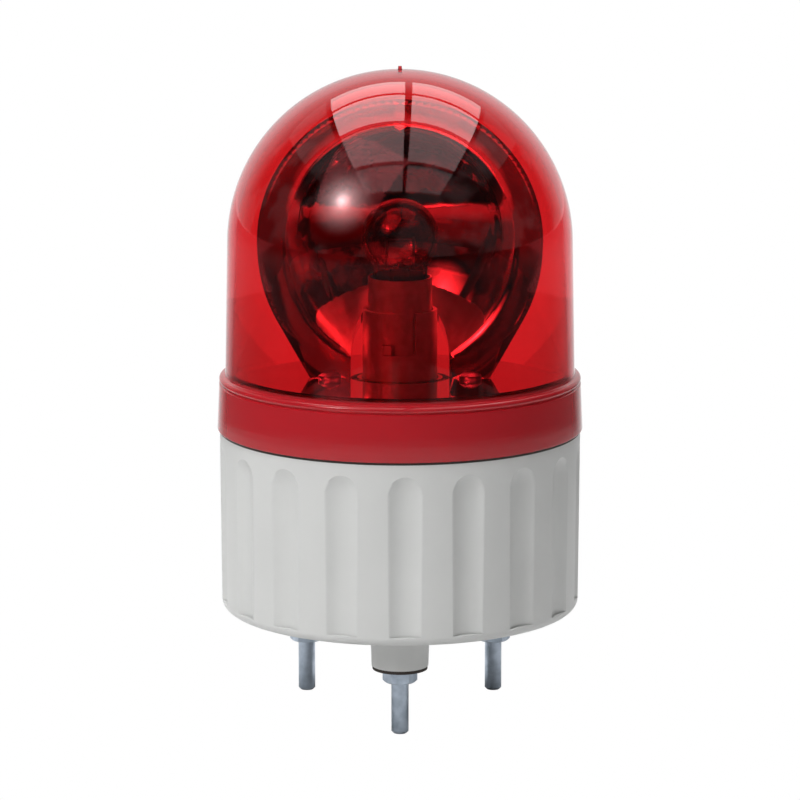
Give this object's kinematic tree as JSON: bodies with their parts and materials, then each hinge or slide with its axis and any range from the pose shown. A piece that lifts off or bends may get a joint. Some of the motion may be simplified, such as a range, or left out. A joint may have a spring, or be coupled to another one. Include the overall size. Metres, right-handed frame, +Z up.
{
  "type": "rotating beacon",
  "caption": "Rotating warning beacon: a red domed lens over a motor-driven mirror that turns round a bayonet lamp, on a fluted housing with threaded studs.",
  "frame": {"origin": "on the beacon's axis, at the level of the stud tips", "axes": "+Z up along the axis towards the dome's top, -Y towards the front, where one stud stands"},
  "size_m": [0.086, 0.086, 0.1526],
  "materials": {
    "grey_abs": "moulded, satin",
    "zinc_steel": "bright zinc plating",
    "black_rubber": "moulded",
    "sheet_steel": "zinc-coated sheet",
    "brass": "turned",
    "white_nylon": "moulded",
    "spring_steel": "drawn",
    "green_laminate": "solder mask",
    "black_plastic": "moulded",
    "nickel_brass": "nickel plating",
    "brown_laminate": "pressed laminate",
    "chromed_plastic": "vacuum-metallised mirror plating",
    "red_lens": "clear red, polished",
    "solder": "tinned",
    "lamp_glass": "blown, clear",
    "tungsten": "drawn wire"
  },
  "bodies": {
    "housing": {"base_housing": "grey_abs", "mounting_studs": "zinc_steel", "stud_washers": "black_rubber", "stud_nuts": "zinc_steel", "cable_grommet": "black_rubber", "lens_gasket": "black_rubber", "chassis_plate": "sheet_steel", "chassis_screws": "zinc_steel", "turntable_bush": "brass", "thrust_washer": "white_nylon", "bush_clip": "spring_steel", "circuit_board": "green_laminate", "board_screws": "zinc_steel", "terminal_block": "black_plastic", "idler_pin": "spring_steel", "idler_clip": "spring_steel", "motor_can": "sheet_steel", "motor_screws": "zinc_steel", "lamp_holder": "nickel_brass", "lamp_insulator": "brown_laminate", "plunger_spring": "spring_steel"},
    "turntable": {"reflector": "chromed_plastic", "reflector_screws": "zinc_steel", "turntable_gear": "white_nylon"},
    "idler": {"idler_gear": "white_nylon"},
    "motor_rotor": {"motor_shaft": "spring_steel", "motor_pinion": "brass"},
    "lens": {"lens_dome": "red_lens"},
    "lamp": {"lamp_cap": "brass", "lamp_contact": "solder", "lamp_glass": "lamp_glass", "lamp_stem": "lamp_glass", "lamp_filament": "tungsten"},
    "plunger": {"lamp_plunger": "brass"}
  },
  "joints": [
    {"name": "reflector_spin", "type": "hinge", "parent": "housing", "child": "turntable", "pos_m": [0, 0, 0.08], "axis": [0, 0, 1], "continuous": true},
    {"name": "idler_spin", "type": "hinge", "parent": "housing", "child": "idler", "pos_m": [0, 0.0252, 0.0708], "axis": [0, 0, 1], "continuous": true},
    {"name": "motor_spin", "type": "hinge", "parent": "housing", "child": "motor_rotor", "pos_m": [-0.01166, 0.02234, 0.0708], "axis": [0, 0, 1], "continuous": true},
    {"name": "lens_twist", "type": "hinge", "parent": "housing", "child": "lens", "pos_m": [0, 0, 0.0708], "axis": [0, 0, 1], "range_deg": [0, 18]},
    {"name": "lamp_twist", "type": "hinge", "parent": "housing", "child": "lamp", "pos_m": [0, 0, 0.0885], "axis": [0, 0, 1], "range_deg": [0, 36]},
    {"name": "plunger_press", "type": "slide", "parent": "housing", "child": "plunger", "axis": [0, 0, -1], "range_m": [0, 0.0015], "stiffness_N_per_m": 1500, "springref_m": -0.002, "deforming": ["plunger_spring"]}
  ],
  "couplings": [
    {"joint": "idler_spin", "follows": "reflector_spin", "ratio": -5},
    {"joint": "motor_spin", "follows": "reflector_spin", "ratio": 15}
  ]
}
